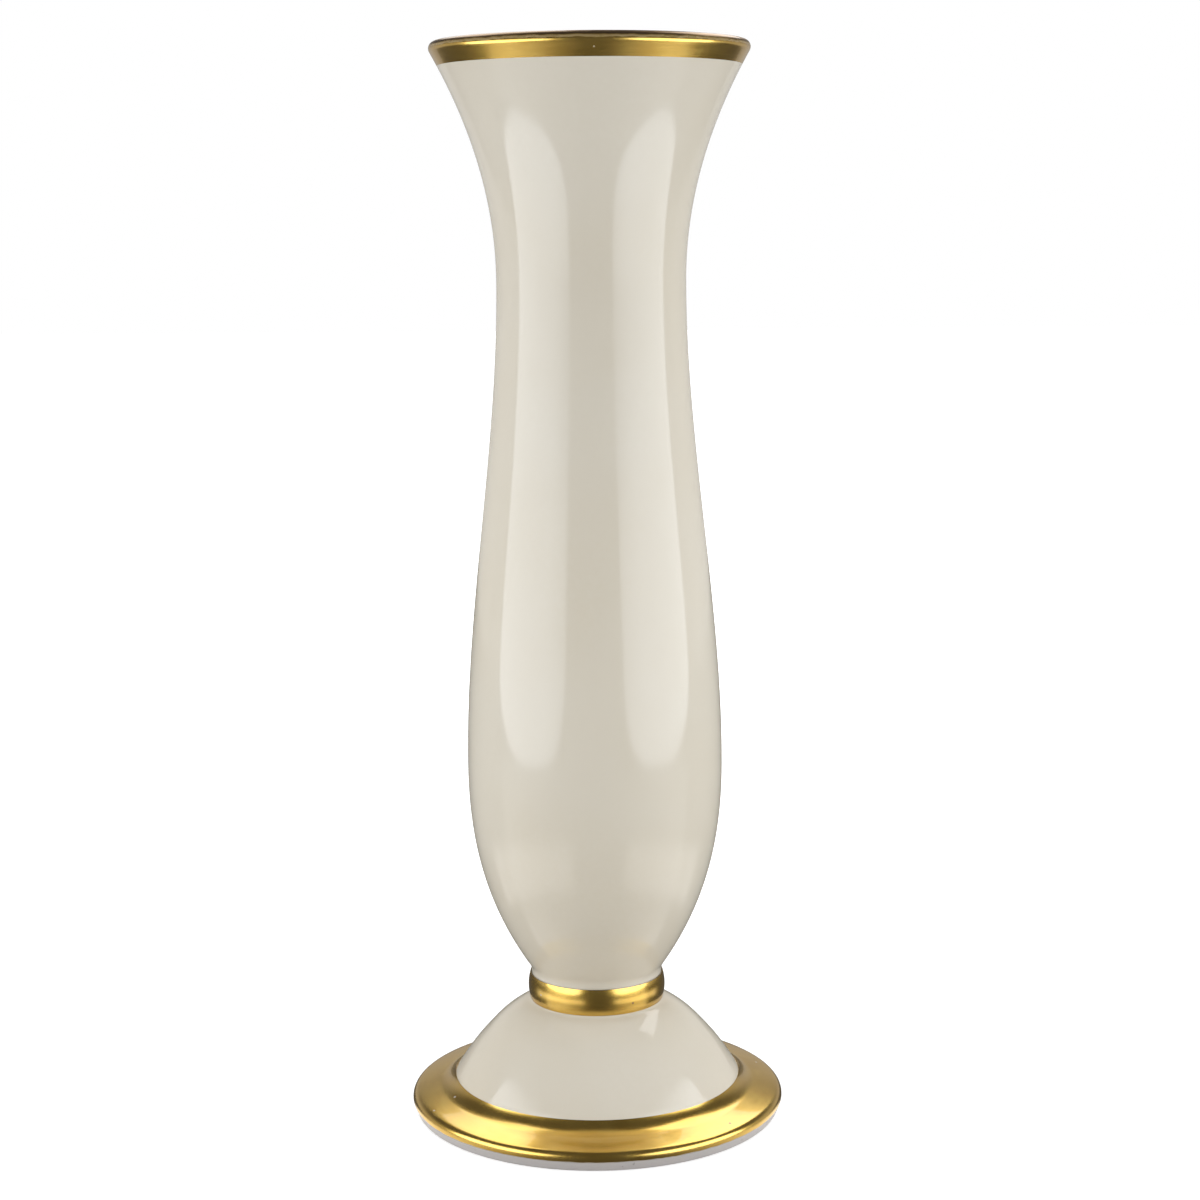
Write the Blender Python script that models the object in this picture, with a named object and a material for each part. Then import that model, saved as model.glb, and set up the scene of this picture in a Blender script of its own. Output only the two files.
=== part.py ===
"""Footed porcelain bud vase with gold bands, in metres: axis on +Z, foot ring standing on z = 0."""
import math

import bpy

MM = 0.001

# Whole vase
HEIGHT = 199.6 * MM
SEGMENTS = 48

# Body: flared lip, narrow neck, full belly, tapering to a stem
LIP_RADIUS = 28.95 * MM
LIP_WALL = 2.5 * MM
LIP_FLARE = math.radians(29.4)
NECK_DROP = 42.6 * MM
NECK_RADIUS = 17.33 * MM
BELLY_RISE = 40.4 * MM
BELLY_RADIUS = 23.88 * MM
STEM_RADIUS = 12.4 * MM
STEM_COVE = 2.5 * MM
STEM_FLARE = math.radians(34.3)
BODY_WALL = 2.6 * MM
WELL_FLOOR = 4.5 * MM
WELL_FULLNESS = 2.6

# Waist knop and the spigot that carries it
KNOP_HEIGHT = 5.0 * MM
KNOP_EDGE_RADIUS = 12.6 * MM
KNOP_BULGE = 0.4 * MM
SPIGOT_RADIUS = 7.0 * MM

# Foot: ivory bell running through a cove into a wide flange, hollow below, standing on a ground ring
CROWN_HEIGHT = 20.9 * MM
CROWN_RADIUS = 13.17 * MM
CROWN_FLARE = math.radians(63.5)
BELL_HEIGHT = 14.0 * MM
BELL_INSET = 5.4 * MM
BELL_LEAN = math.radians(42.0)
HEM_HEIGHT = 6.67 * MM
HEM_LEAN = math.radians(33.0)
FLANGE_COVE = 4.7 * MM
FLANGE_SLOPE = math.radians(10.0)
FLANGE_WIDTH = 8.26 * MM
FLANGE_RADIUS = 35.36 * MM
EDGE_HEIGHT = 2.35 * MM
EDGE_ROUND = 1.45 * MM
EDGE_SLOPE = math.radians(25.0)
EDGE_TUCK = math.radians(22.0)
BASE_TUCK = 0.8 * MM
BASE_RING = 3.0 * MM
FOOT_WALL = 3.0 * MM

# Gold bands, slip layers and the clearances between pieces
RIM_BAND = 4.3 * MM
RIM_BAND_INSIDE = 2.5 * MM
GILDING = 0.2 * MM
SLIP = 0.3 * MM
FIRED_GAP = 0.1 * MM
SPIGOT_GAP = 0.3 * MM

# Heights and radii that follow from the stack of foot, slip, knop, slip and body
KNOP_BASE = CROWN_HEIGHT + SLIP + 2 * FIRED_GAP
KNOP_TOP = KNOP_BASE + KNOP_HEIGHT
BODY_SEAT = KNOP_TOP + SLIP + 2 * FIRED_GAP
BELLY_HEIGHT = BODY_SEAT + BELLY_RISE
NECK_HEIGHT = HEIGHT - NECK_DROP
CROWN_UNDERSIDE = CROWN_HEIGHT - FOOT_WALL
HEM_RADIUS = FLANGE_RADIUS - FLANGE_WIDTH
BASE_RADIUS = FLANGE_RADIUS - BASE_TUCK
SOCKET_RADIUS = SPIGOT_RADIUS + SPIGOT_GAP
RECESS = GILDING + FIRED_GAP

for leftover in list(bpy.data.objects):
    bpy.data.objects.remove(leftover)


def steps(start, end, count):
    return [start + (end - start) * i / count for i in range(count + 1)]


def arc(centre, radius, start, end, count):
    """Points on a circle of the section, as (radius, height)."""
    return [(centre[0] + radius * math.cos(a), centre[1] + radius * math.sin(a)) for a in steps(start, end, count)]


def sweep(low, low_lean, high, high_lean, heights):
    """One smooth stretch of outline between two points, leaning outwards by the given angles at its ends."""
    rise = high[1] - low[1]
    points = []
    for height in heights:
        t = (height - low[1]) / rise
        radius = low[0] * (2 * t**3 - 3 * t**2 + 1) + high[0] * (3 * t**2 - 2 * t**3)
        radius += rise * math.tan(low_lean) * (t**3 - 2 * t**2 + t)
        radius += rise * math.tan(high_lean) * (t**3 - t**2)
        points.append((radius, height))
    return points


def eased(before, corner, after, count):
    """A smooth turn from one point to another, heading for a corner and then away from it."""
    points = []
    for t in steps(0.0, 1.0, count):
        shares = ((1 - t) ** 2, 2 * t * (1 - t), t**2)
        points.append(tuple(sum(s * p[i] for s, p in zip(shares, (before, corner, after))) for i in (0, 1)))
    return points


def sunk(outline, depth):
    """The outline moved into the material, which lies on the right of its direction of travel."""
    moved = []
    for i, (radius, height) in enumerate(outline):
        before = outline[max(i - 1, 0)]
        after = outline[min(i + 1, len(outline) - 1)]
        run = after[0] - before[0]
        rise = after[1] - before[1]
        length = math.hypot(run, rise)
        moved.append((radius + depth * rise / length, height - depth * run / length))
    return moved


def shortened(outline, distance):
    """The outline with both ends drawn in by a distance."""
    trimmed = list(outline)
    for end, neighbour in ((0, 1), (-1, -2)):
        share = distance / math.dist(outline[end], outline[neighbour])
        trimmed[end] = tuple(p + (q - p) * share for p, q in zip(outline[end], outline[neighbour]))
    return trimmed


def finish(name, colour, roughness, metallic):
    material = bpy.data.materials.new(name)
    material.use_nodes = True
    shader = material.node_tree.nodes["Principled BSDF"]
    shader.inputs["Base Color"].default_value = (*colour, 1.0)
    shader.inputs["Roughness"].default_value = roughness
    shader.inputs["Metallic"].default_value = metallic
    return material


def turned(name, section, seat, closed, material):
    """A round piece turned from its half section, with its origin on the axis at its seat."""
    last = len(section) - 1
    edges = [(i, i + 1) for i in range(last)]
    if closed:
        edges.append((last, 0))
    mesh = bpy.data.meshes.new(name)
    mesh.from_pydata([(radius, 0.0, height - seat) for radius, height in section], edges, [])
    mesh.materials.append(material)
    piece = bpy.data.objects.new(name, mesh)
    piece.location.z = seat
    bpy.context.scene.collection.objects.link(piece)
    lathe = piece.modifiers.new("Lathe", "SCREW")
    lathe.axis = "Z"
    lathe.angle = math.tau
    lathe.steps = SEGMENTS
    lathe.render_steps = SEGMENTS
    lathe.use_merge_vertices = True
    lathe.merge_threshold = 0.00001
    lathe.use_smooth_shade = True
    return piece


def gilded(name, band, seat):
    """A gold band: the finished surface over the band and the same surface sunk by the gold's thickness."""
    face = shortened(band, FIRED_GAP)
    back = sunk(face, GILDING)
    return turned(name, face + back[::-1], seat, True, finish(name, GOLD, 0.28, 1.0))


IVORY = (0.72, 0.66, 0.56)
FIRED_SLIP = (0.68, 0.64, 0.57)
GOLD = (0.83, 0.59, 0.21)

# Lip: a full round between the outside and the well, leaning out with the flare
lip_round = LIP_WALL / 2
lip_centre = (LIP_RADIUS - lip_round, HEIGHT - lip_round)
lip = arc(lip_centre, lip_round, math.pi - LIP_FLARE, -LIP_FLARE, 6)
lip_inside = lip[0]
lip_outside = lip[-1]

# Outside of the body, from the lip down to the cove above the knop
neck = (NECK_RADIUS, NECK_HEIGHT)
belly = (BELLY_RADIUS, BELLY_HEIGHT)
cove = arc((STEM_RADIUS + STEM_COVE, BODY_SEAT), STEM_COVE, math.pi - STEM_FLARE, math.pi, 2)
band_edge = HEIGHT - RIM_BAND
flare_band = sweep(neck, 0, lip_outside, LIP_FLARE, steps(lip_outside[1], band_edge, 1))
flare = sweep(neck, 0, lip_outside, LIP_FLARE, steps(band_edge, NECK_HEIGHT, 6))
waisting = sweep(belly, 0, neck, 0, steps(NECK_HEIGHT, BELLY_HEIGHT, 7))
tapering = sweep(cove[0], STEM_FLARE, belly, 0, steps(BELLY_HEIGHT, cove[0][1], 7))

# Inside of the body: the well, from its rounded floor up to the lip
well_belly = (BELLY_RADIUS - BODY_WALL, BELLY_HEIGHT)
well_neck = (NECK_RADIUS - BODY_WALL, NECK_HEIGHT)
well_depth = BELLY_HEIGHT - BODY_SEAT - WELL_FLOOR
well_floor = [
    (well_belly[0] * math.sin(a), BELLY_HEIGHT - well_depth * math.cos(a) ** (2 / WELL_FULLNESS))
    for a in steps(0, math.pi / 2, 6)
]
well_waist = sweep(well_belly, 0, well_neck, 0, steps(BELLY_HEIGHT, NECK_HEIGHT, 5))
inside_edge = HEIGHT - RIM_BAND_INSIDE
well_flare = sweep(well_neck, 0, lip_inside, LIP_FLARE, steps(NECK_HEIGHT, inside_edge, 5))
well_band = sweep(well_neck, 0, lip_inside, LIP_FLARE, steps(inside_edge, lip_inside[1], 1))

# Body with the lip drawn in under its gold, standing on the seat with the spigot below
rim_band = well_band + lip[1:-1] + flare_band
spigot = [
    (STEM_RADIUS, BODY_SEAT),
    (SPIGOT_RADIUS, BODY_SEAT),
    (SPIGOT_RADIUS, CROWN_UNDERSIDE),
    (0.0, CROWN_UNDERSIDE),
]
body_section = well_floor + well_waist[1:] + well_flare[1:] + sunk(rim_band, RECESS)
body_section += flare + waisting[1:] + tapering[1:] + cove[1:-1] + spigot
turned("body_casting", body_section, BODY_SEAT, False, finish("body_casting", IVORY, 0.12, 0.0))
gilded("rim_gilding", rim_band, HEIGHT)

# Knop: a shallow bead round the spigot, sunk under its gold
knop_middle = (KNOP_BASE + KNOP_TOP) / 2
bead_radius = ((KNOP_HEIGHT / 2) ** 2 + KNOP_BULGE**2) / (2 * KNOP_BULGE)
bead_half = math.asin(KNOP_HEIGHT / 2 / bead_radius)
bead_centre = (KNOP_EDGE_RADIUS + KNOP_BULGE - bead_radius, knop_middle)
knop_band = arc(bead_centre, bead_radius, bead_half, -bead_half, 6)
bead_core = bead_radius - RECESS
core_half = math.asin(KNOP_HEIGHT / 2 / bead_core)
knop_section = arc(bead_centre, bead_core, core_half, -core_half, 6)
knop_section += [(SOCKET_RADIUS, KNOP_BASE), (SOCKET_RADIUS, KNOP_TOP)]
turned("waist_knop", knop_section, KNOP_BASE, True, finish("waist_knop", IVORY, 0.12, 0.0))
gilded("knop_gilding", knop_band, KNOP_BASE)


# Slip: the two fired layers that bond the knop to the body above and to the foot below
def slip_layer(name, seat):
    top = seat + SLIP
    rim = STEM_RADIUS - SPIGOT_GAP
    section = [(SOCKET_RADIUS, top), (rim, top), (rim, seat), (SOCKET_RADIUS, seat)]
    turned(name, section, seat, True, finish(name, FIRED_SLIP, 0.6, 0.0))


slip_layer("upper_luting_slip", KNOP_TOP + FIRED_GAP)
slip_layer("lower_luting_slip", CROWN_HEIGHT + FIRED_GAP)

# Bell: from the crown that takes the knop, through its middle, out to the hem where the gold begins
crown = (CROWN_RADIUS, CROWN_HEIGHT)
middle = (HEM_RADIUS - BELL_INSET, BELL_HEIGHT)
hem = (HEM_RADIUS, HEM_HEIGHT)
bell = sweep(middle, -BELL_LEAN, crown, -CROWN_FLARE, steps(CROWN_HEIGHT, BELL_HEIGHT, 5))
bell += sweep(hem, -HEM_LEAN, middle, -BELL_LEAN, steps(BELL_HEIGHT, HEM_HEIGHT, 4))[1:]

# Flange: cove below the hem, top that steepens outwards, rounded edge tucked under
cove_centre = (hem[0] + FLANGE_COVE * math.cos(HEM_LEAN), hem[1] + FLANGE_COVE * math.sin(HEM_LEAN))
flange_cove = arc(cove_centre, FLANGE_COVE, math.pi + HEM_LEAN, 3 * math.pi / 2 - FLANGE_SLOPE, 4)
edge_centre = (FLANGE_RADIUS - EDGE_ROUND, EDGE_HEIGHT)
edge = arc(edge_centre, EDGE_ROUND, math.pi / 2 - EDGE_SLOPE, -EDGE_TUCK, 5)
top_start = flange_cove[-1]
top_width = edge[0][0] - top_start[0]
top_drop = top_start[1] - edge[0][1]
level_run = (top_width * math.tan(EDGE_SLOPE) - top_drop) / (math.tan(EDGE_SLOPE) - math.tan(FLANGE_SLOPE))
top_turn = (top_start[0] + level_run, top_start[1] - level_run * math.tan(FLANGE_SLOPE))
flange_top = eased(top_start, top_turn, edge[0], 5)
foot_band = flange_cove + flange_top[1:-1] + edge

# Hollow under the foot: an even wall below the bell and flange, down to the ground ring
ring_inside = BASE_RADIUS - BASE_RING
hollow_hem = (hem[0] - FOOT_WALL * math.cos(HEM_LEAN), hem[1] - FOOT_WALL * math.sin(HEM_LEAN))
hollow_middle = (
    middle[0] - FOOT_WALL * math.cos(BELL_LEAN),
    middle[1] - FOOT_WALL * math.sin(BELL_LEAN),
)
hollow_crown = (CROWN_RADIUS - FOOT_WALL / 2, CROWN_UNDERSIDE)
hollow = [(ring_inside, 0.0)]
hollow += sweep(hollow_hem, -HEM_LEAN, hollow_middle, -BELL_LEAN, steps(hollow_hem[1], hollow_middle[1], 4))
hollow += sweep(
    hollow_middle, -BELL_LEAN, hollow_crown, -CROWN_FLARE, steps(hollow_middle[1], CROWN_UNDERSIDE, 4)
)[1:]
socket = [(SOCKET_RADIUS, CROWN_UNDERSIDE), (SOCKET_RADIUS, CROWN_HEIGHT)]
foot_section = bell + sunk(foot_band, RECESS) + [edge[-1], (BASE_RADIUS, 0.0)] + hollow + socket
turned("foot_casting", foot_section, 0.0, True, finish("foot_casting", IVORY, 0.15, 0.0))
gilded("foot_gilding", foot_band, 0.0)
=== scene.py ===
import math

import bpy
from mathutils import Matrix


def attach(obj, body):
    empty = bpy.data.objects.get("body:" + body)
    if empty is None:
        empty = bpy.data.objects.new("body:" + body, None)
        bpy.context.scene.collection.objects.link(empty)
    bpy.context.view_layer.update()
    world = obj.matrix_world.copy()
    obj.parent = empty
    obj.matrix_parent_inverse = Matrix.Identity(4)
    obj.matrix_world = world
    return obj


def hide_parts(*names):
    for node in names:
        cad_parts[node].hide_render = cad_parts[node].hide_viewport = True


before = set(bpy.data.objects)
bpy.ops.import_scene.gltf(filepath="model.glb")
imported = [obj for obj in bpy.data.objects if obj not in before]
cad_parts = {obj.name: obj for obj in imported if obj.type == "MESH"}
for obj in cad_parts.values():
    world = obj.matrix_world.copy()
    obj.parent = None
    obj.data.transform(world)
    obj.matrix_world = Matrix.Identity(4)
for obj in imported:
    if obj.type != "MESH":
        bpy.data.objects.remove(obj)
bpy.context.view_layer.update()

# Foot: slip-cast porcelain, a bell running into a wide flange, hollow below, under a glossy ivory glaze.
# The base edge is wiped clean of glaze before firing, so the vase stands on a bare ring of porcelain
# that has greyed with use. The crown is luted to the knop above, and the glaze runs over the joint.
MM = 0.001
TURN_STEPS = 192
GOLD_BED = 0.07 * MM
IVORY = (0.675, 0.615, 0.510, 1.0)
IVORY_CREAM = (0.660, 0.596, 0.482, 1.0)
IVORY_PALE = (0.690, 0.634, 0.533, 1.0)
BARE_PORCELAIN = (0.60, 0.555, 0.53, 1.0)
BASE_GRIME = (0.16, 0.12, 0.095, 1.0)


def steps(start, end, count):
    return [start + (end - start) * i / count for i in range(count + 1)]


def arc(centre, radius, start, end, count):
    """Points on a circle of the half section, as (radius, height)."""
    turns = steps(start, end, count)
    return [(centre[0] + radius * math.cos(a), centre[1] + radius * math.sin(a)) for a in turns]


def sweep(low, low_lean, high, high_lean, heights):
    """A smooth stretch of outline between two points, leaning outwards by the given angles at its ends."""
    rise = high[1] - low[1]
    points = []
    for height in heights:
        t = (height - low[1]) / rise
        radius = low[0] * (2 * t**3 - 3 * t**2 + 1) + high[0] * (3 * t**2 - 2 * t**3)
        radius += rise * math.tan(low_lean) * (t**3 - 2 * t**2 + t)
        radius += rise * math.tan(high_lean) * (t**3 - t**2)
        points.append((radius, height))
    return points


def eased(before, corner, after, count):
    """A corner rounded off between a point before it and a point after it."""
    points = []
    for t in steps(0.0, 1.0, count):
        shares = ((1 - t) ** 2, 2 * t * (1 - t), t**2)
        points.append(tuple(sum(s * p[i] for s, p in zip(shares, (before, corner, after))) for i in (0, 1)))
    return points


def sunk(outline, depth):
    """The outline moved into the porcelain, which lies on the right of its direction of travel."""
    moved = []
    for i, (radius, height) in enumerate(outline):
        before = outline[max(i - 1, 0)]
        after = outline[min(i + 1, len(outline) - 1)]
        run = after[0] - before[0]
        rise = after[1] - before[1]
        length = math.hypot(run, rise)
        moved.append((radius + depth * rise / length, height - depth * run / length))
    return moved


def turned(name, section):
    """A round piece: its half section is drawn by extruding a point, then spun about the axis of the vase."""
    bpy.ops.object.select_all(action="DESELECT")
    bpy.ops.mesh.primitive_plane_add(size=MM, location=(section[0][0], 0.0, section[0][1]))
    piece = bpy.context.object
    piece.name = name
    piece.data.name = name
    bpy.ops.object.mode_set(mode="EDIT")
    bpy.ops.mesh.merge(type="CENTER")
    for here, there in zip(section, section[1:]):
        reach = (there[0] - here[0], 0.0, there[1] - here[1])
        bpy.ops.mesh.extrude_vertices_move(TRANSFORM_OT_translate={"value": reach})
    bpy.ops.mesh.select_all(action="SELECT")
    bpy.ops.mesh.spin(steps=TURN_STEPS, angle=math.tau, center=(0, 0, 0), axis=(0, 0, 1))
    bpy.ops.mesh.select_all(action="SELECT")
    bpy.ops.mesh.remove_doubles(threshold=0.002 * MM)
    bpy.ops.mesh.normals_make_consistent(inside=False)
    bpy.ops.object.mode_set(mode="OBJECT")
    bpy.ops.object.transform_apply()
    bpy.ops.object.shade_smooth_by_angle(angle=math.radians(35))
    return piece


class Shade:
    """A value that varies over a finish. Arithmetic on it adds the Math nodes that it needs."""

    def __init__(self, tree, socket=None):
        self.tree = tree
        self.socket = socket

    def node(self, kind, settings, sockets, output=0):
        made = self.tree.nodes.new(kind)
        for setting, value in settings.items():
            setattr(made, setting, value)
        for name, value in sockets.items():
            if isinstance(value, Shade):
                self.tree.links.new(value.socket, made.inputs[name])
            else:
                made.inputs[name].default_value = value
        return Shade(self.tree, made.outputs[output])

    def maths(self, operation, *values):
        return self.node("ShaderNodeMath", {"operation": operation}, dict(enumerate(values)))

    def __add__(self, other):
        return self.maths("ADD", self, other)

    def __sub__(self, other):
        return self.maths("SUBTRACT", self, other)

    def __rsub__(self, other):
        return self.maths("SUBTRACT", other, self)

    def __mul__(self, other):
        return self.maths("MULTIPLY", self, other)

    def __truediv__(self, other):
        return self.maths("DIVIDE", self, other)

    def __pow__(self, other):
        return self.maths("POWER", self, other)

    __radd__ = __add__
    __rmul__ = __mul__

    def axis(self, which):
        return self.node("ShaderNodeSeparateXYZ", {}, {0: self}, which)

    def rises(self, low, high):
        """0 at low and 1 at high, in a soft step."""
        ends = {"Value": self, "From Min": low, "From Max": high}
        return self.node("ShaderNodeMapRange", {"interpolation_type": "SMOOTHSTEP"}, ends)

    def grain(self, scale, detail):
        """Soft random clouds over a place, with that many features to the metre."""
        return self.node("ShaderNodeTexNoise", {}, {"Vector": self, "Scale": scale, "Detail": detail})

    def blend(self, first, second):
        """A colour that goes from the first to the second as this value goes from 0 to 1."""
        return self.node("ShaderNodeMix", {"data_type": "RGBA"}, {0: self, 6: first, 7: second}, 2)

    def raised(self, depth):
        """The surface tilted as if this value stood up from it by a depth."""
        return self.node("ShaderNodeBump", {}, {"Height": self, "Distance": depth})

    def into(self, shader, name):
        self.tree.links.new(self.socket, shader.inputs[name])


def new_finish(name):
    """A material with its shader, and the place on the piece that its patterns follow."""
    material = bpy.data.materials.new(name)
    material.use_nodes = True
    tree = material.node_tree
    place = Shade(tree).node("ShaderNodeTexCoord", {}, {}, "Object")
    return material, tree.nodes["Principled BSDF"], place


def glaze_colour(place):
    """Ivory glaze: it drifts between a creamier and a paler tone, with a very fine mottle."""
    drift = place.grain(26, 3).rises(0.3, 0.7)
    mottle = place.grain(900, 2).rises(0.2, 0.8)
    tone = drift.blend(IVORY_CREAM, IVORY_PALE)
    return (mottle * 0.5).blend(tone, IVORY)


crown_top = (12.62 * MM, 21.37 * MM)
crown_seat = 20.9 * MM
crown_underside = 17.9 * MM
seat_lip = 12.16 * MM
socket_radius = 7.3 * MM
crown_flare = math.radians(63.5)
bell_head = 20.3 * MM
bell_middle = (21.7 * MM, 14.0 * MM)
bell_lean = math.radians(42.0)
hem = (27.1 * MM, 6.67 * MM)
hem_lean = math.radians(33.0)
bell_crown = (13.17 * MM, crown_seat)
bell = sweep(bell_middle, -bell_lean, bell_crown, -crown_flare, steps(bell_head, bell_middle[1], 24))
bell += sweep(hem, -hem_lean, bell_middle, -bell_lean, steps(bell_middle[1], hem[1], 24))[1:]
cove_leans = (-math.radians(60), -math.radians(12))
crown_cove = sweep(bell[0], cove_leans[0], crown_top, cove_leans[1], steps(crown_top[1], bell[0][1], 8))
cove_round = 4.7 * MM
cove_centre = (hem[0] + cove_round * math.cos(hem_lean), hem[1] + cove_round * math.sin(hem_lean))
flange_slope = math.radians(10.0)
flange_cove = arc(cove_centre, cove_round, math.pi + hem_lean, 3 * math.pi / 2 - flange_slope, 20)
edge_slope = math.radians(25.0)
edge_round = 1.45 * MM
edge_tuck = math.radians(22)
edge_centre = (35.36 * MM - edge_round, 2.35 * MM)
edge = arc(edge_centre, edge_round, math.pi / 2 - edge_slope, -edge_tuck, 24)
top_width = edge[0][0] - flange_cove[-1][0]
top_drop = flange_cove[-1][1] - edge[0][1]
level_run = (top_width * math.tan(edge_slope) - top_drop) / (math.tan(edge_slope) - math.tan(flange_slope))
top_turn = (flange_cove[-1][0] + level_run, flange_cove[-1][1] - level_run * math.tan(flange_slope))
flange_top = eased(flange_cove[-1], top_turn, edge[0], 20)
foot_band = flange_cove + flange_top[1:-1] + edge
base_edge = eased((34.72 * MM, 0.45 * MM), (34.56 * MM, 0.0), (34.1 * MM, 0.0), 6)
ring_inside = eased((31.9 * MM, 0.0), (31.56 * MM, 0.0), (31.1 * MM, 0.2 * MM), 5)
hollow_hem = (24.58 * MM, 5.04 * MM)
hollow_middle = (19.47 * MM, 11.99 * MM)
hollow_crown = (11.67 * MM, crown_underside)
hollow = sweep(hollow_hem, -hem_lean, hollow_middle, -bell_lean, steps(hollow_hem[1], hollow_middle[1], 14))
hollow_heights = steps(hollow_middle[1], crown_underside, 14)
hollow += sweep(hollow_middle, -bell_lean, hollow_crown, -crown_flare, hollow_heights)[1:]
foot_section = crown_cove + bell[1:-1] + sunk(foot_band, GOLD_BED) + [edge[-1]]
foot_section += base_edge + ring_inside + hollow
foot_section += [(socket_radius, crown_underside), (socket_radius, crown_seat), (seat_lip, crown_seat)]
foot_section += [(seat_lip, crown_top[1]), crown_top]
foot = turned("ivory_foot", foot_section)

foot_finish, shader, place = new_finish("ivory_foot_glaze")
height = place.axis(2)
across = (place.axis(0) ** 2 + place.axis(1) ** 2) ** 0.5
ragged = place.grain(420, 4) * 0.9 * MM
bare = (height + ragged).rises(2.6 * MM, 2.2 * MM) * across.rises(29 * MM, 30 * MM)
soiling = place.grain(700, 3).rises(0.66, 0.74) * place.grain(60, 2).rises(0.5, 0.62)
ring_tone = soiling.blend(BARE_PORCELAIN, BASE_GRIME)
pooled = height.rises(20.2 * MM, 21.3 * MM) * 0.35
glazed = pooled.blend(glaze_colour(place), IVORY_CREAM)
bare.blend(glazed, ring_tone).into(shader, "Base Color")
(place.grain(90, 3) * 0.05 + 0.06 + bare * 0.5).into(shader, "Roughness")
(place.grain(70, 2) + bare * place.grain(1500, 4) * 0.8).raised(0.03 * MM).into(shader, "Normal")
shader.inputs["IOR"].default_value = 1.5
foot.data.materials.append(foot_finish)
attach(foot, "root")
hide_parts("foot_casting")

# Luting slip and knop core: the knop is a cast porcelain ring on the spigot, stuck to the foot below and
# to the body above with thin layers of liquid clay. Fired, the slip is matt and chalky, and all three
# lie hidden behind the gold and the glaze.
SLIP_TONES = ((0.62, 0.58, 0.51, 1.0), (0.72, 0.68, 0.61, 1.0))
slip_finish, shader, place = new_finish("chalky_fired_slip")
chalk = place.grain(600, 4)
chalk.rises(0.3, 0.7).blend(*SLIP_TONES).into(shader, "Base Color")
(chalk * 0.2 + 0.55).into(shader, "Roughness")
chalk.raised(0.04 * MM).into(shader, "Normal")
for layer in ("lower_luting_slip", "upper_luting_slip"):
    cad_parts[layer].data.materials.clear()
    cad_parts[layer].data.materials.append(slip_finish)
core_finish, shader, place = new_finish("knop_core_glaze")
glaze_colour(place).into(shader, "Base Color")
(place.grain(90, 3) * 0.05 + 0.1).into(shader, "Roughness")
place.grain(70, 2).raised(0.03 * MM).into(shader, "Normal")
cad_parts["waist_knop"].data.materials.clear()
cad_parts["waist_knop"].data.materials.append(core_finish)

# Body: slip-cast in one piece from lip to stem, with an even wall round the deep well, under the same
# ivory glaze inside and out. A spigot below the seat goes through the knop into the foot.
HEIGHT = 199.6 * MM
lip_round = 1.25 * MM
lip_flare = math.radians(29.4)
lip_centre = (28.95 * MM - lip_round, HEIGHT - lip_round)
lip = arc(lip_centre, lip_round, math.pi - lip_flare, -lip_flare, 30)
neck = (17.33 * MM, 157.0 * MM)
body_seat = 26.9 * MM
belly = (23.88 * MM, body_seat + 40.4 * MM)
stem_radius = 12.4 * MM
stem_cove = 2.5 * MM
stem_flare = math.radians(34.3)
stem_foot = 26.42 * MM
cove = arc((stem_radius + stem_cove, body_seat), stem_cove, math.pi - stem_flare, math.pi, 8)
band_edge = HEIGHT - 4.3 * MM
flare_band = sweep(neck, 0, lip[-1], lip_flare, steps(lip[-1][1], band_edge, 6))
flare = sweep(neck, 0, lip[-1], lip_flare, steps(band_edge, neck[1], 40))
waist = sweep(belly, 0, neck, 0, steps(neck[1], belly[1], 50))
taper = sweep(cove[0], stem_flare, belly, 0, steps(belly[1], cove[0][1], 44))
body_wall = 2.6 * MM
well_bottom = 4.5 * MM
well_fullness = 2.6
well_belly = (belly[0] - body_wall, belly[1])
well_neck = (neck[0] - body_wall, neck[1])
well_depth = belly[1] - body_seat - well_bottom
well_floor = [
    (well_belly[0] * math.sin(a), belly[1] - well_depth * math.cos(a) ** (2 / well_fullness))
    for a in steps(0, math.pi / 2, 24)
]
inside_edge = HEIGHT - 2.5 * MM
well_waist = sweep(well_belly, 0, well_neck, 0, steps(belly[1], neck[1], 24))
well_flare = sweep(well_neck, 0, lip[0], lip_flare, steps(neck[1], inside_edge, 24))
well_band = sweep(well_neck, 0, lip[0], lip_flare, steps(inside_edge, lip[0][1], 4))
rim_band = well_band + lip[1:-1] + flare_band
spigot_radius = 7.0 * MM
spigot = [(spigot_radius, body_seat), (spigot_radius, crown_underside), (0.0, crown_underside)]
body_section = well_floor + well_waist[1:] + well_flare[1:] + sunk(rim_band, GOLD_BED)
body_section += flare + waist[1:] + taper[1:] + cove[1:]
body_section += [(stem_radius, stem_foot), (seat_lip, stem_foot), (seat_lip, body_seat)] + spigot
body = turned("ivory_body", body_section)

body_finish, shader, place = new_finish("ivory_body_glaze")
height = place.axis(2)
pooled = height.rises(29.5 * MM, 26.8 * MM) * 0.4
pooled.blend(glaze_colour(place), IVORY_CREAM).into(shader, "Base Color")
(place.grain(60, 3) * 0.05 + 0.07).into(shader, "Roughness")
place.grain(60, 2).raised(0.03 * MM).into(shader, "Normal")
shader.inputs["IOR"].default_value = 1.5
body.data.materials.append(body_finish)
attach(body, "root")
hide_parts("body_casting")

# Gold bands: liquid gold brushed on over the glaze on a turning wheel, then fired once more at low heat.
# The film has fine streaks that run round the vase, and it has rubbed thin at the lip and the foot's edge.
GOLD_FILM = 0.05 * MM
GOLD_BRIGHT = (0.85, 0.565, 0.135, 1.0)
GOLD_DEEP = (0.79, 0.50, 0.10, 1.0)
GOLD_TARNISH = (0.24, 0.15, 0.10, 1.0)
RUBBED_BARE = (0.47, 0.43, 0.40, 1.0)


def gilded(name, band, node):
    """A film of gold over a band of the outline."""
    film = turned(name, band + sunk(band, GOLD_FILM)[::-1] + band[:1])
    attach(film, "root")
    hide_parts(node)
    return film


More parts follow.
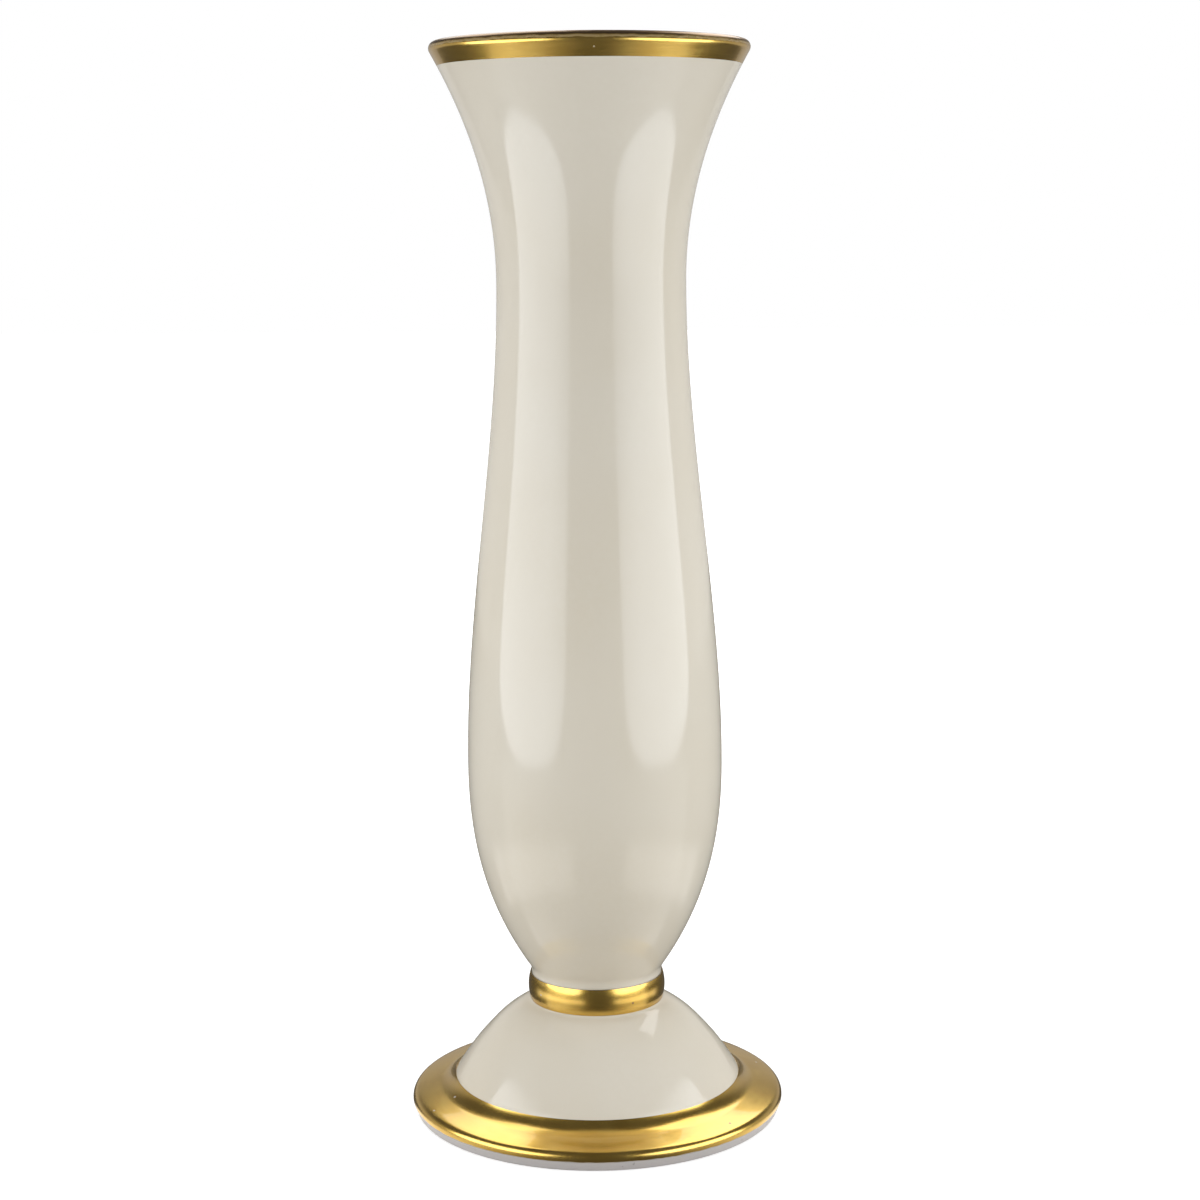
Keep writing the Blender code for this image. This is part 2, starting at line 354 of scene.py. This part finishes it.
def gold_finish(name):
    """Satin gold with brushed streaks, before any wear: its shader, place, colour, roughness and streaks."""
    material, shader, place = new_finish(name)
    across = (place.axis(0) ** 2 + place.axis(1) ** 2) ** 0.5
    round_the_wheel = {
        0: place.axis(0) / across * 6.0,
        1: place.axis(1) / across * 6.0,
        2: (place.axis(2) + across) * 2600.0,
    }
    brushed = place.node("ShaderNodeCombineXYZ", {}, round_the_wheel)
    streaks = brushed.grain(1.0, 3)
    blotches = place.grain(160, 4)
    colour = (blotches * 0.6 + streaks * 0.4).rises(0.35, 0.65).blend(GOLD_DEEP, GOLD_BRIGHT)
    roughness = 0.17 + streaks * 0.07 + blotches * 0.07
    shader.inputs["Metallic"].default_value = 1.0
    shader.inputs["Coat Weight"].default_value = 0.5
    return material, shader, place, colour, roughness, streaks


def specks(place, spots, size):
    """1 on small round spots of a film, and 0 elsewhere."""
    found = 0.0
    for spot in spots:
        where = tuple(coordinate * MM for coordinate in spot)
        apart = place.node("ShaderNodeVectorMath", {"operation": "DISTANCE"}, {0: place, 1: where}, "Value")
        found = apart.rises(size, size * 0.5) + found
    return found


rim = gilded("rim_gold", rim_band, "rim_gilding")
rim_finish, shader, place, colour, roughness, streaks = gold_finish("rim_gold_film")
height = place.axis(2)
ragged = (place.grain(500, 4) - 0.5) * 0.5 * MM
wavering = height + ragged
lip_line = wavering.rises(198.35 * MM, 198.5 * MM) * wavering.rises(198.95 * MM, 198.7 * MM)
pinhole = specks(place, [(0.78, -28.19, 196.91)], 0.22 * MM)
rubbed = lip_line * (place.grain(300, 3) * 0.3 + 0.25) + pinhole
dull = wavering.rises(198.7 * MM, 199.1 * MM) * 0.85
rubbed.blend(dull.blend(colour, GOLD_TARNISH), RUBBED_BARE).into(shader, "Base Color")
(roughness + dull * 0.12 + rubbed * 0.1).into(shader, "Roughness")
(1 - rubbed).into(shader, "Metallic")
streaks.raised(0.004 * MM).into(shader, "Normal")
rim.data.materials.append(rim_finish)

knop_middle = 23.9 * MM
knop_radius = 13.0 * MM
half_height = 2.5 * MM
bulge = 0.4 * MM
bead_round = (half_height**2 + bulge**2) / (2 * bulge)
bead_half = math.asin(half_height / bead_round)
bead = arc((knop_radius - bead_round, knop_middle), bead_round, bead_half, -bead_half, 24)
knop = gilded("knop_gold", bead, "knop_gilding")
knop_finish, shader, place, colour, roughness, streaks = gold_finish("knop_gold_film")
pinhole = specks(place, [(-10.49, -7.64, 23.92)], 0.2 * MM)
burnt = specks(place, [(6.75, -11.08, 23.36), (-9.2, 9.1, 24.4)], 0.25 * MM)
pinhole.blend(burnt.blend(colour, GOLD_TARNISH), RUBBED_BARE).into(shader, "Base Color")
(roughness + pinhole * 0.2).into(shader, "Roughness")
(1 - pinhole).into(shader, "Metallic")
streaks.raised(0.004 * MM).into(shader, "Normal")
knop.data.materials.append(knop_finish)

flange = gilded("flange_gold", foot_band, "foot_gilding")
flange_finish, shader, place, colour, roughness, streaks = gold_finish("flange_gold_film")
height = place.axis(2)
ragged = (place.grain(420, 4) - 0.5) * 0.35 * MM
pinholes = [(-30.55, -14.4, 4.0), (-26.84, -10.5, 5.05), (-21.7, -16.0, 6.1)]
pinholes += [(12.5, 29.8, 4.2), (31.2, 9.5, 4.2)]
rubbed = (height + ragged).rises(2.02 * MM, 1.9 * MM) + specks(place, pinholes, 0.3 * MM)
burnt = specks(place, [(24.25, -22.4, 4.12), (-14.0, 28.5, 4.4)], 0.35 * MM)
rubbed.blend(burnt.blend(colour, GOLD_TARNISH), RUBBED_BARE).into(shader, "Base Color")
(roughness + rubbed * 0.2).into(shader, "Roughness")
(1 - rubbed).into(shader, "Metallic")
streaks.raised(0.004 * MM).into(shader, "Normal")
flange.data.materials.append(flange_finish)

# Studio floor and room: a sheet of white paper that keeps the shadow of the foot, in a white room.
# The camera and the gold see both as white, and both send a soft light back to the vase.
WHITE = (1.0, 1.0, 1.0, 1.0)
FLOOR_PAPER = (0.6, 0.595, 0.58, 1.0)
FLOOR_GLOW = 0.62
ROOM_FILL = 0.53


def seen_white(tree):
    """1 for rays from the camera, and for those that a gloss or a glass sends on."""
    path = Shade(tree)
    seen = path.node("ShaderNodeLightPath", {}, {}, "Is Camera Ray")
    seen = seen + path.node("ShaderNodeLightPath", {}, {}, "Is Glossy Ray")
    seen = seen + path.node("ShaderNodeLightPath", {}, {}, "Is Transmission Ray")
    return seen.maths("MINIMUM", seen, 1.0)


bpy.ops.object.select_all(action="DESELECT")
bpy.ops.mesh.primitive_plane_add(size=6.0, location=(0.0, 0.0, -0.02 * MM))
floor = bpy.context.object
floor.name = "studio_floor"
bpy.ops.object.transform_apply()
floor_finish, shader, place = new_finish("white_sweep")
tree = floor_finish.node_tree
away = (place.axis(0) ** 2 + place.axis(1) ** 2) ** 0.5
brighter = away.rises(0.06, 0.3) * (1.0 - FLOOR_GLOW) + FLOOR_GLOW
matt = place.node("ShaderNodeBsdfDiffuse", {}, {"Color": FLOOR_PAPER})
glow = place.node("ShaderNodeEmission", {}, {"Color": WHITE, "Strength": seen_white(tree) * brighter})
place.node("ShaderNodeAddShader", {}, {0: matt, 1: glow}).into(tree.nodes["Material Output"], "Surface")
floor.data.materials.append(floor_finish)

room = bpy.data.worlds.new("white_room")
room.use_nodes = True
bpy.context.scene.world = room
tree = room.node_tree
backdrop = tree.nodes["Background"]
backdrop.inputs["Color"].default_value = WHITE
(seen_white(tree) * (1.0 - ROOM_FILL) + ROOM_FILL).into(backdrop, "Strength")

# Reflection shell: a cylinder round and above the set, closed below just over the floor, that glows with
# painted reflections for the gold:
# dark in most places, with a pale table beside the vase, a bright ring of table near the foot and a dim wall
# behind it. Reflections alone see it.
REFLECTION_GLOW_TONE = (1.0, 0.98, 0.95, 1.0)
FLAG_RADIUS = 0.85
FLAG_HEIGHT = 0.75
FLAG_SKEW = 0.08
FLAG_GLOW = 0.09
TABLE_GLOW = 0.6
NEAR_GLOW = 1.0
WALL_GLOW = 0.36
reflection_shell_finish, shader, place = new_finish("painted_reflection_shell")
tree = reflection_shell_finish.node_tree
skewed = place.axis(0) + place.axis(1) * FLAG_SKEW
sideways = skewed.maths("ABSOLUTE", skewed)
bearing = sideways.maths("ARCTAN2", sideways, 0 - place.axis(1))
reach = (place.axis(0) ** 2 + place.axis(1) ** 2) ** 0.5
# Painted reflections on the shell's floor: a bright ring of table near the foot and a pale table out to each
# side, dark in front.
near_table = reach.rises(0.062, 0.08) * reach.rises(0.15, 0.115) * NEAR_GLOW
far_side = bearing.rises(math.radians(10), math.radians(75)) * (TABLE_GLOW + reach.rises(0.055, 0.037) * 0.5)
clear_of_front = bearing.rises(math.radians(20), math.radians(28))
clear_of_back = bearing.rises(math.radians(118), math.radians(102))
near_side = clear_of_front * clear_of_back * near_table
beside = bearing.rises(math.radians(92), math.radians(82))
painted_table_glow = (far_side * beside + near_side) * place.axis(2).rises(0.004, 0.002)
# Painted reflection of a dim wall behind the vase, on the shell's back wall.
behind = bearing.rises(math.radians(88), math.radians(100))
painted_wall_glow = behind * place.axis(2).rises(0.002, 0.004) * place.axis(2).rises(0.5, 0.12) * WALL_GLOW
# The shell's glow: the painted table and wall reflections over a faint dark glow everywhere else.
painted_reflection_glow = place.node("ShaderNodeEmission", {}, {"Color": REFLECTION_GLOW_TONE, "Strength": painted_table_glow + painted_wall_glow + FLAG_GLOW})
painted_reflection_glow.into(tree.nodes["Material Output"], "Surface")
bpy.ops.object.select_all(action="DESELECT")
flag_place = (0.0, 0.0, FLAG_HEIGHT / 2 + 0.2 * MM)
bpy.ops.mesh.primitive_cylinder_add(vertices=64, radius=FLAG_RADIUS, depth=FLAG_HEIGHT, location=flag_place)
flag = bpy.context.object
flag.name = "painted_reflection_shell"
bpy.ops.object.transform_apply()
flag.data.materials.append(reflection_shell_finish)
flag.visible_camera = False
flag.visible_diffuse = False
flag.visible_transmission = False
flag.visible_shadow = False

# Lamps: a soft panel on each side that stands on the table and faces the vase, two long soft boxes above and
# behind, and a weak fill from each side. The panels fade towards the camera and towards their tops.
PANEL_TONE = (0.96, 1.0, 1.05, 1.0)
PANEL_GLOW = 3.0
PANEL_BEARING = math.radians(55)
PANEL_AWAY = 0.25
PANEL_MIDDLE = (0.032, 0.12)
PANEL_HALF = (0.181, 0.1)
TOP_GLOW = 2.4
TOP_PLACE = (0.185, 0.52, 0.5)
TOP_SHIFT = 0.045
TOP_SIZE = (0.235, 0.82)
FILL_GLOW = 0.8
FILL_PLACE = (0.5, -0.05, 0.4)
FILL_SIZE = 0.4
FILL_TILT = math.radians(55)
panel_finish, shader, place = new_finish("soft_panel")
tree = panel_finish.node_tree
facing = (math.sin(PANEL_BEARING), math.cos(PANEL_BEARING))
sideways = place.axis(0).maths("ABSOLUTE", place.axis(0))
along = (sideways * facing[1] + place.axis(1) * facing[0] - PANEL_MIDDLE[0]) / PANEL_HALF[0]
above = (place.axis(2) - PANEL_MIDDLE[1]) / PANEL_HALF[1]
sheet_shape = ((along**4 + above**4) ** 0.25).rises(1.0, 0.93)
head = (place.axis(2) - along * 0.02).rises(0.215, 0.14)
hanging = (place.axis(2) - along.maths("MAXIMUM", along, 0.0) ** 2 * 0.035).rises(0.017, 0.028)
faded = sheet_shape * head * hanging * (along.rises(-1.0, -0.4) * 0.35 + 0.65)
glow = place.node("ShaderNodeEmission", {}, {"Color": PANEL_TONE, "Strength": faded * PANEL_GLOW})
glow.into(tree.nodes["Material Output"], "Surface")
upright = math.pi / 2
for name, side in (("left_panel", -1), ("right_panel", 1)):
    bpy.ops.object.select_all(action="DESELECT")
    where = (
        side * (PANEL_AWAY * facing[0] + PANEL_MIDDLE[0] * facing[1]),
        PANEL_MIDDLE[0] * facing[0] - PANEL_AWAY * facing[1],
        PANEL_MIDDLE[1],
    )
    turned_in = (upright, 0, side * PANEL_BEARING)
    bpy.ops.mesh.primitive_plane_add(size=2.0, location=where, rotation=turned_in)
    sheet = bpy.context.object
    sheet.name = name
    sheet.scale = (*PANEL_HALF, 1.0)
    bpy.ops.object.transform_apply()
    sheet.data.materials.append(panel_finish)
    sheet.visible_camera = False
    sheet.visible_shadow = False
for name, side in (("top_left_box", -1), ("top_right_box", 1)):
    where = (side * TOP_PLACE[0] + TOP_SHIFT, TOP_PLACE[1], TOP_PLACE[2])
    bpy.ops.object.light_add(type="AREA", location=where)
    lamp = bpy.context.object
    lamp.name = name
    lamp.data.shape = "RECTANGLE"
    lamp.data.size = TOP_SIZE[0]
    lamp.data.size_y = TOP_SIZE[1]
    lamp.data.energy = TOP_GLOW * (0.9 + side * 0.1) * math.pi * TOP_SIZE[0] * TOP_SIZE[1]
    lamp.visible_camera = False
for name, side in (("left_fill", -1), ("right_fill", 1)):
    where = (side * FILL_PLACE[0], FILL_PLACE[1], FILL_PLACE[2])
    bpy.ops.object.light_add(type="AREA", location=where, rotation=(0, side * FILL_TILT, 0))
    lamp = bpy.context.object
    lamp.name = name
    lamp.data.size = FILL_SIZE
    lamp.data.energy = FILL_GLOW * math.pi * FILL_SIZE**2
    lamp.visible_camera = False
    lamp.visible_glossy = False

# Camera: at the photograph's place, level with the neck and looking a little down on the foot.
# Its place and angles fit the outlines of the lip, the waist and the foot in the photograph.
CAMERA_PLACE = (0.0, -0.44546, 0.16982)
CAMERA_LENS = 72.63
CAMERA_DIP = 0.16014
CAMERA_PAN = -0.00264
CAMERA_ROLL = -0.00739
bpy.ops.object.camera_add()
camera = bpy.context.object
camera.name = "photo_camera"
turn = Matrix.Rotation(CAMERA_PAN, 4, "Z") @ Matrix.Rotation(upright - CAMERA_DIP, 4, "X")
turn = turn @ Matrix.Rotation(CAMERA_ROLL, 4, "Z")
camera.matrix_world = Matrix.Translation(CAMERA_PLACE) @ turn
camera.data.sensor_width = 36.0
camera.data.lens = CAMERA_LENS
camera.data.clip_start = 0.01
bpy.context.scene.camera = camera
bpy.context.scene.view_settings.view_transform = "Standard"
